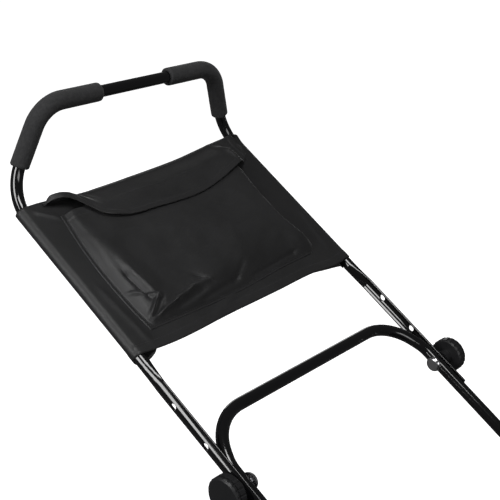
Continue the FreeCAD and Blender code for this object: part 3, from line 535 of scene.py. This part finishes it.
def pocket_height(x, s):
    """How far the pocket's cloth stands off the panel."""
    steep = 1.15 - 0.4 * ease((255 - s) / 90)
    left = SEWN + steep * np.maximum(x - POCKET_LEFT(s) - FLANGE, 0)
    right = SEWN + 1.2 * np.maximum(POCKET_RIGHT(s) - x, 0)
    slant = 0.68 - 0.24 * ease((x + 60) / 80)
    floor = SEWN + slant * np.maximum(s - POCKET_FLOOR(x) - FLANGE / 2, 0)
    face = 10.0 + 9.0 * ease((x + 165) / 300) - 4.0 * ease((s - 270) / 60)
    height = lower_of(lower_of(face, left, 3.2), right, 1.4)
    height = lower_of(height, floor, 2.4 + 3.0 * ease((x + 60) / 80))
    corner = np.exp(-((x - 140) / 20) ** 2 - ((s - 164) / 20) ** 2)
    height = height + 4.0 * corner * ease(right / 14)
    body = ease(height / 7)
    for crease in POCKET_FOLDS:
        height = height + fold(x, s, *crease) * body
    height = height + body * (0.9 * ripple(x / 55, s / 45, 5.0) + 0.3 * ripple(x / 18, s / 16, 7.0))
    return np.maximum(height, 0.5)


def pocket_points():
    """Gusseted pocket from its floor to its mouth, with a hem along the mouth."""
    u = np.linspace(0, 1, POCKET_COLUMNS)[None]
    v = np.linspace(0, 1, POCKET_ROWS)[:, None]
    s = POCKET_LOW + v * (POCKET_MOUTH - POCKET_LOW) * np.ones_like(u)
    x = POCKET_LEFT(s) + u * (POCKET_RIGHT(s) - POCKET_LEFT(s))
    floor = POCKET_FLOOR(x)
    s = floor + (s - POCKET_LOW) * (POCKET_MOUTH - floor) / (POCKET_MOUTH - POCKET_LOW)
    n = panel_level(x, s) + pocket_height(x, s)
    n = n + 0.6 * ease((s - POCKET_MOUTH + 12) / 2)
    return np.stack([x, s, n], -1)


# The flap's seam and hem, s by x, and how far it stands off the panel, n by x.
FLAP_TOP = curve((-177, 352), (-160, 350), (-143, 349.5), (-110, 352.5), (-43, 356),
                 (79, 362.5), (150, 369.5), (190, 372))
FLAP_HEM = curve((-177, 349), (-167, 347), (-156, 344), (-145, 339), (-128, 322), (-115, 304.5),
                 (-94, 293), (-73, 288.5), (-36, 287), (15, 284.5), (57, 287), (105, 297.5),
                 (147, 310.5), (168, 316.5), (180, 325), (187, 334), (190, 344))
FLAP_LIFT = curve((-177, 1), (-170, 9), (-158, 14), (-145, 14), (-128, 11), (-115, 8),
                  (-94, 4.5), (-60, 3.0), (120, 3.0), (150, 4.5), (180, 5.5), (190, 5.0))
FLAP_LEFT, FLAP_RIGHT = -177, 190
FLAP_COLUMNS, FLAP_ROWS = 260, 70
FLAP_SEAM = 9.0  # row of stitches, in from the hem
SEAM_COLUMNS = range(14, 240)  # columns of the flap that the stitches cross
FLAP_FOLDS = [((146, 352), (156, 324), 6, 2.2), ((-112, 350), (-106, 338), 3.0, 0.8)]
ARCH_BULGE = 5.5  # how far the arched end droops over the pocket's mouth
ROLL = 0.06  # share of the flap that turns in to the seam


def flap_points():
    """Flap from the panel's upper edge to its wavy hem, its left end arched off the pocket."""
    x = np.linspace(FLAP_LEFT, FLAP_RIGHT, FLAP_COLUMNS)[None]
    v = np.linspace(0, 1, FLAP_ROWS)[:, None]
    top, hem, lift = FLAP_TOP(x), FLAP_HEM(x), FLAP_LIFT(x)
    arched = ease((lift - 4) / 8)
    s = top + v * (hem - top) + ARCH_BULGE * arched * np.sin(math.pi * v ** 0.7)
    wide = x * np.ones_like(s)
    over_pocket = ease((x + 172) / 24) * ease((170 - x) / 20)
    under = np.clip(x, -150, 140) * np.ones_like(s)
    covered = pocket_height(under, np.minimum(s, POCKET_MOUTH - 2)) * over_pocket
    rise = lift * ease(v * (1 + arched)) + covered * (1 - 0.8 * arched) * ease((v + 0.04) / 0.62)
    right_end = ease((x - 140) / 36)
    rise = np.maximum(rise, 1.4 + 1.8 * right_end)
    n = panel_level(wide, s) + rise + 0.6 * ease((x - 179) / 2)
    n = n + 0.7 * hem_relief((1 - v) * np.abs(top - hem) + (PANEL_SEAM - FLAP_SEAM))
    n = n + 0.4 * ripple(wide / 46, s / 26, 33.0)
    for crease in FLAP_FOLDS:
        n = n + fold(x, s, *crease)
    roll = ease((ROLL - v) / ROLL)
    n = n - roll * (rise + 2.0)
    s = s + roll * 1.0
    return np.stack([wide, s, n], -1)


def flap_seam():
    """Row of stitches inside the flap's hem, as lines of world points lying on the cloth."""
    points = flap_points()
    rows = [np.argmin(np.abs(points[:, column, 1] - points[-1, column, 1] - FLAP_SEAM))
            for column in SEAM_COLUMNS]
    line = np.array([points[row, column] for row, column in zip(rows, SEAM_COLUMNS)])
    line[:, 2] += STITCH_LIFT
    return [to_world(line)]


def handle_fabric():
    """Pillowcase panel over the side tubes, pocket on it and flap over the pocket's mouth."""
    cloth = MATERIALS["fabric"]
    panel_mesh = grid_mesh("panel_cloth", to_world(panel_points()), wrap=True, span=(0.875, 0.245))
    panel = piece("panel_cloth", panel_mesh, "handle", cloth, "fabric", "handle_panel")
    pocket_mesh = grid_mesh("pocket_cloth", to_world(pocket_points()), span=(0.33, 0.196))
    pocket = piece("pocket_cloth", pocket_mesh, "handle", cloth, "fabric", "pocket")
    flap_mesh = grid_mesh("flap_cloth", to_world(flap_points()), span=(0.374, 0.07))
    flap = piece("flap_cloth", flap_mesh, None, cloth, "fabric")
    for made in (panel, pocket, flap):
        thicken(made, CLOTH, -1)
    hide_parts("pocket_flap")
    flap_thread = stitches("flap_stitching", flap_seam(), None)
    for made in (flap, flap_thread):
        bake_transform(made)

    def on(level, x, s, lift):
        return to_world(np.stack([x, s, level(x, s) + lift], -1))

    def face(x, s):
        return panel_level(x, s) + pocket_height(x, s)

    along = np.linspace(-212, 212, 260)[4:-4]
    up = np.linspace(136, POCKET_MOUTH - 2, 120)
    low = np.linspace(-166, 150, 180)
    seams = [on(panel_level, along, PANEL_FRONT_LOW(along) + PANEL_SEAM, 0.35)]
    for inset in FLANGE_ROWS:
        seams.append(on(face, POCKET_LEFT(up) + inset, up, STITCH_LIFT))
        seams.append(on(face, low, POCKET_FLOOR(low) + inset - 0.6, STITCH_LIFT))
    panel_thread = stitches("panel_stitching", seams, "handle")


# ------------------------------------------------------------------ foam grips

# Middle line of the handle's right half, and the radii of its bends.
HANDLE_CORNERS = [(SIDE, 100, 0), (SIDE, 320, 0), (SIDE - 4.8, 390, 0), (155, 431.5, 105),
                  (0, 431.5, 105)]
HANDLE_BENDS = [300, BEND_RADIUS, 45]
GRIP_SIZE = 25.0
GRIP_BORE = TUBE + 0.3
GRIP_BARE = 123.0  # bare tube between the grips
GRIP_START = 0.006  # the tube's middle line above the CAD grip's lowest point, in metres
GRIP_AROUND = 56
EDGE_DROP, EDGE_LENGTH = 1.6, 2.2  # rounding of the foam's ends
DENT = 0.16


def grip(name, side):
    """Foam sleeve round one corner of the handle, its ends cut square with soft edges."""
    line = route(HANDLE_CORNERS, HANDLE_BENDS, 1.5)
    reach = np.concatenate([[0], np.cumsum(np.linalg.norm(np.diff(line, axis=0), axis=1))])
    end = reach[-1] - GRIP_BARE / 2
    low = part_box(f"{name}_grip")[0]
    heights = (to_world(line) - np.array(low[:]))[:, 2]
    start = reach[np.argmax(heights > GRIP_START)]
    keep = (reach > start) & (reach < end)
    line, reach = line[keep], reach[keep]
    edge = np.minimum(reach - reach[0], reach[-1] - reach)
    radius = GRIP_SIZE / 2 - EDGE_DROP * np.clip(1 - edge / EDGE_LENGTH, 0, 1) ** 2
    rings = sweep_rings(line, radius, GRIP_AROUND)
    centre = line[:, None]
    out = (rings - centre) / radius[:, None, None]
    x, s, n = np.moveaxis(rings, -1, 0)
    dents = ripple(x / 2.2 + n / 3, s / 2.2, 41.0) * DENT
    inner = centre + out * GRIP_BORE
    rings = rings + out * dents[..., None]
    rings = np.concatenate([inner[:1], rings, inner[-1:], inner[::-1], inner[:1]])
    rings[..., 0] *= side
    mesh = grid_mesh(f"{name}_foam_grip", to_world(rings), wrap=True, span=(0.08, 0.3))
    if side > 0:
        mesh.flip_normals()
    made = piece(f"{name}_foam_grip", mesh, "handle", MATERIALS["foam"], "foam", f"{name}_grip")


# ------------------------------------------------------------------ hamper

HAMPER_COLUMNS, HAMPER_ROWS, FLOOR_ROWS = 420, 60, 24
HAMPER_CORNER = 38
WALL_SAG = 5.5
WALL_CRUMPLE = 2.2
WALL_INSET = 1.0
HAMPER_HEM = 0.9  # how far the hem stands out, over the top tenth of the wall
HAMPER_CLOTH = 1.2
ARC_STEPS = 25  # points on each corner


def hamper_outline(count, half_x, half_y, corner):
    """Rounded rectangle, evenly spaced: rows of a point and its outward normal, and its length."""
    fine = []
    for sx, sy, start in ((1, -1, -90), (1, 1, 0), (-1, 1, 90), (-1, -1, 180)):
        for step in range(ARC_STEPS):
            turn = math.radians(start + step * 90 / (ARC_STEPS - 1))
            out_x, out_y = math.cos(turn), math.sin(turn)
            fine.append((sx * (half_x - corner) + corner * out_x,
                         sy * (half_y - corner) + corner * out_y, out_x, out_y))
    fine.append(fine[0])
    fine = np.array(fine)
    reach = np.concatenate([[0], np.cumsum(np.linalg.norm(np.diff(fine[:, :2], axis=0), axis=1))])
    places = np.linspace(0, reach[-1], count, endpoint=False)
    return np.stack([np.interp(places, reach, fine[:, k]) for k in range(4)], -1), reach[-1]


def hamper():
    """Open cloth bag between the loops: sagging walls, rolled hem and a floor on the board."""
    low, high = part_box("hamper")
    middle, half = (low + high) / 2, (high - low) / 2
    edge, round_it = hamper_outline(HAMPER_COLUMNS, half.x / MM, half.y / MM, HAMPER_CORNER)
    deep = (high.z - low.z) / MM
    v = np.linspace(0, 1, HAMPER_ROWS)[:, None]
    walk = np.linspace(0, round_it, HAMPER_COLUMNS, endpoint=False)[None]
    sag = WALL_SAG * np.sin(math.pi * v) * (0.75 + 0.5 * ripple(walk / 120, v * 1.5, 2.0))
    crumple = ripple(walk / 34, v * 2.2, 4.0) * WALL_CRUMPLE * np.sin(math.pi * v) ** 0.6
    inset = sag + crumple + WALL_INSET
    hem = HAMPER_HEM * ease((v - 0.9) / 0.012)
    x = edge[:, 0] - edge[:, 2] * (inset - hem)
    y = edge[:, 1] - edge[:, 3] * (inset - hem)
    z = v * deep * np.ones_like(walk)
    wall = np.stack([x, y, z], -1)
    rings = [wall[:1] * (share, share, 1) + (0, 0, 0.2 + 0.8 * (1 - share))
             for share in np.linspace(0.02, 0.985, FLOOR_ROWS)]
    points = np.concatenate([*rings, wall]) * MM + np.array((middle.x, middle.y, low.z))
    mesh = grid_mesh("hamper_cloth", points, wrap=True, span=(round_it * MM, 0.5))
    bag = piece("hamper_cloth", mesh, "chassis", MATERIALS["hamper_fabric"], "hamper_fabric",
                "hamper")
    thicken(bag, HAMPER_CLOTH, 1)


# ------------------------------------------------------------------ tyres

# Depth of the rubber, its shoulder, blocks round the tyre and depth of the tread.
REAR_TYRE = (20, 8, 44, 1.6)
CASTOR_TYRE = (12, 5.5, 30, 0.8)
REAR_RADIUS = 80  # a rear tyre is larger than this, a castor's is smaller
TYRE_AROUND = 528
GROOVES = (-0.17, 0.17)  # as shares of the width
GROOVE_WIDTH = 0.9


def tyre_profile(width, radius, depth, shoulder):
    """Cross-section of a tyre from one bead over the tread to the other, (x, radius)."""
    half = width / 2
    turns = np.radians(np.linspace(90, 0, 12))
    right = [(half - shoulder + shoulder * math.cos(t), radius - shoulder + shoulder * math.sin(t))
             for t in turns]
    crown = [(x, radius) for x in np.linspace(0, half - shoulder, 14)[:-1]]
    outer = crown + right + [(half, radius - depth)]
    mirrored = [(-x, r) for x, r in outer[::-1]]
    return mirrored[:-1] + outer + [(-half, radius - depth)]


def tread(width, blocks, deep):
    """Two zig-zag grooves and slanting cuts between the blocks, as a depth by place and angle."""

    def relief(x, turn):
        wave = 1.2 * np.arcsin(np.sin(turn * blocks))
        grooves = sum(np.exp(-((x - at * width - wave) / GROOVE_WIDTH) ** 4) for at in GROOVES)
        off = np.abs(x)
        cut = np.abs(((turn * blocks / (2 * math.pi) + off / width * 0.9) % 1) - 0.5)
        sides = (ease((off - 0.2 * width) / 1.5) * ease((cut - 0.36) / 0.05)
                 * ease((0.47 * width - off) / 1.5))
        return deep * np.clip(grooves + sides, 0, 1)

    return relief


def tyres():
    for name in ("rear_left", "rear_right", "front_left", "front_right"):
        low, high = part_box(f"{name}_tyre")
        centre, reach = (low + high) / 2, (high - low) / 2
        width, radius = 2 * reach.x / MM, reach.z / MM
        depth, shoulder, blocks, deep = REAR_TYRE if radius > REAR_RADIUS else CASTOR_TYRE
        mesh = lathe(f"{name}_tread", tyre_profile(width, radius, depth, shoulder), TYRE_AROUND,
                     centre, tread(width, blocks, deep))
        mesh.flip_normals()
        piece(f"{name}_tread", mesh, f"{name}_wheel", MATERIALS["tyre"], "tyre", f"{name}_tyre")


# ------------------------------------------------------------------ studio

ROOM = 40.0  # half the floor's width and half the walls' height, in metres

# Softboxes by their place from the bow's middle, size and power.
LIGHTS = [
    ("key", (-0.5, -0.55, 2.05), (0.8, 1.0), 23),
    ("side", (-2.0, 0.35, 0.95), (0.8, 1.2), 25),
    ("back", (2.2, 2.2, 0.35), (2.4, 0.8), 10),
    ("fill", (-0.7, -2.2, 0.6), (1.6, 0.8), 12),
]

# The photograph's camera, by its place from the bow's middle and where it looks.
CAMERA_PLACE = (-0.968, -0.753, 0.629)
CAMERA_AIM = (0.7015, 0.6162, -0.3581)
CAMERA_LENS, SENSOR = 77.0, 36.0


def pale_surface(name, points, faces, paint):
    """Part of the studio that is white in the picture and lights nothing."""
    mesh = bpy.data.meshes.new(name)
    mesh.from_pydata(points, [], faces)
    mesh.materials.append(paint)
    made = bpy.data.objects.new(name, mesh)
    bpy.context.scene.collection.objects.link(made)
    made.visible_glossy = False
    made.visible_diffuse = False
    made.visible_shadow = False


def white_floor():
    """Pale floor, and a pale wall all round it as high as it is wide."""
    paint = material("pale_floor", (0.9, 0.9, 0.9), 0.9, Emission_Color=(1, 1, 1, 1),
                     Emission_Strength=1.0)
    low = [(-ROOM, -ROOM, 0), (ROOM, -ROOM, 0), (ROOM, ROOM, 0), (-ROOM, ROOM, 0)]
    high = [(x, y, 2 * ROOM) for x, y, _ in low]
    pale_surface("floor", low, [(0, 1, 2, 3)], paint)
    walls = [(side, (side + 1) % 4, (side + 1) % 4 + 4, side + 4) for side in range(4)]
    pale_surface("backdrop", low + high, walls, paint)


def softbox(name, place, size, power):
    """Area light at a place relative to the bow's middle, facing it."""
    data = bpy.data.lights.new(name, "AREA")
    data.shape = "RECTANGLE"
    data.size, data.size_y = size
    data.energy = power
    light = bpy.data.objects.new(name, data)
    light.location = STEM + Vector(place)
    light.rotation_mode = "QUATERNION"
    light.rotation_quaternion = (-Vector(place)).to_track_quat("-Z", "Y")
    bpy.context.scene.collection.objects.link(light)


def studio():
    white_floor()
    world = bpy.data.worlds.new("studio")
    world.use_nodes = True
    background = world.node_tree.nodes["Background"]
    background.inputs["Color"].default_value = (1, 1, 1, 1)
    background.inputs["Strength"].default_value = 0.07
    bpy.context.scene.world = world
    for light in LIGHTS:
        softbox(*light)
    bpy.context.scene.view_settings.view_transform = "Standard"


def camera():
    data = bpy.data.cameras.new("camera")
    data.lens, data.sensor_width = CAMERA_LENS, SENSOR
    made = bpy.data.objects.new("camera", data)
    ahead = Vector(CAMERA_AIM).normalized()
    right = ahead.cross(Vector((0, 0, 1))).normalized()
    up = right.cross(ahead)
    made.matrix_world = (Matrix.Translation(STEM + Vector(CAMERA_PLACE))
                         @ Matrix((right, up, -ahead)).transposed().to_4x4())
    bpy.context.scene.collection.objects.link(made)
    bpy.context.scene.camera = made


finish_of_nodes()
handle_fabric()
for name, side in (("left", -1), ("right", 1)):
    grip(name, side)
hamper()
tyres()
studio()
camera()
